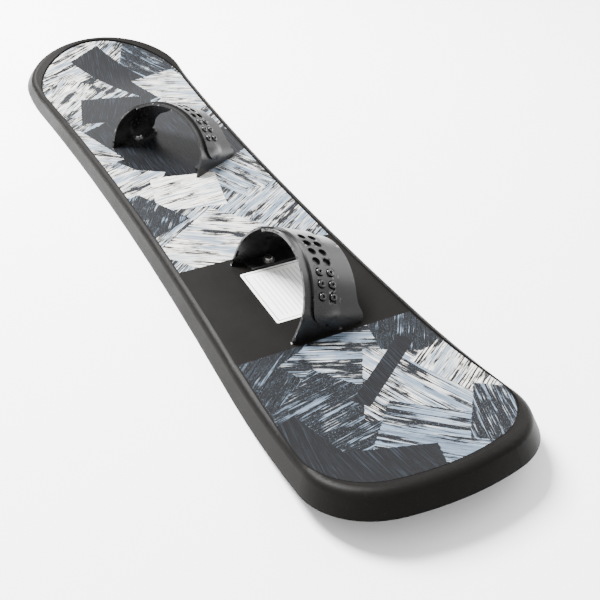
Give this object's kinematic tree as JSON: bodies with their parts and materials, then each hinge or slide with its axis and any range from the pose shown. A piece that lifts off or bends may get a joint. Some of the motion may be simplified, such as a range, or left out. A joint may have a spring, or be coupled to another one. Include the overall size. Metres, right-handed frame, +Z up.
{
  "type": "plastic snowboard",
  "caption": "Child's moulded snowboard with kicked nose and tail, printed deck film and snap-strap arch bindings whose pegged halves button into holed tongues.",
  "frame": {"origin": "on the floor under the middle of the board", "axes": "+Y towards the nose, +X towards the toe side, +Z up out of the deck"},
  "size_m": [0.2618, 1.1, 0.0941],
  "materials": {
    "deck_plastic": "satin moulded polyethylene with a faint grain",
    "base_plastic": "smooth sliding base",
    "foam": "closed-cell bead foam",
    "printed_film": "glossy printed film",
    "label_paper": "satin white sticker",
    "strap_plastic": "satin flexible plastic",
    "screw_steel": "black zinc",
    "washer_steel": "zinc",
    "insert_brass": "turned"
  },
  "bodies": {
    "board": {"base_shell": "base_plastic", "blank_label": "label_paper", "deck_shell": "deck_plastic", "foam_core": "foam", "front_graphic_film": "printed_film", "front_peg_strap": "strap_plastic", "front_peg_strap_insert": "insert_brass", "front_peg_strap_screw": "screw_steel", "front_peg_strap_washer": "washer_steel", "front_strap_wall": "strap_plastic", "front_strap_wall_insert": "insert_brass", "front_strap_wall_screw": "screw_steel", "front_strap_wall_washer": "washer_steel", "rear_peg_strap": "strap_plastic", "rear_peg_strap_insert": "insert_brass", "rear_peg_strap_screw": "screw_steel", "rear_peg_strap_washer": "washer_steel", "rear_strap_wall": "strap_plastic", "rear_strap_wall_insert": "insert_brass", "rear_strap_wall_screw": "screw_steel", "rear_strap_wall_washer": "washer_steel", "tail_graphic_film": "printed_film"},
    "front_tongue": {"front_tongue": "strap_plastic"},
    "rear_tongue": {"rear_tongue": "strap_plastic"}
  },
  "joints": [
    {"name": "front_tongue_peel", "type": "hinge", "parent": "board", "child": "front_tongue", "pos_m": [0.03277, 0.10929, 0.07784], "axis": [-0.803, -0.4636, 0.3746], "range_deg": [0, 60], "stiffness_Nm_per_rad": 0.02},
    {"name": "rear_tongue_peel", "type": "hinge", "parent": "board", "child": "rear_tongue", "pos_m": [0.01427, -0.27431, 0.07754], "axis": [-0.9272, 0, 0.3746], "range_deg": [0, 60], "stiffness_Nm_per_rad": 0.02}
  ]
}
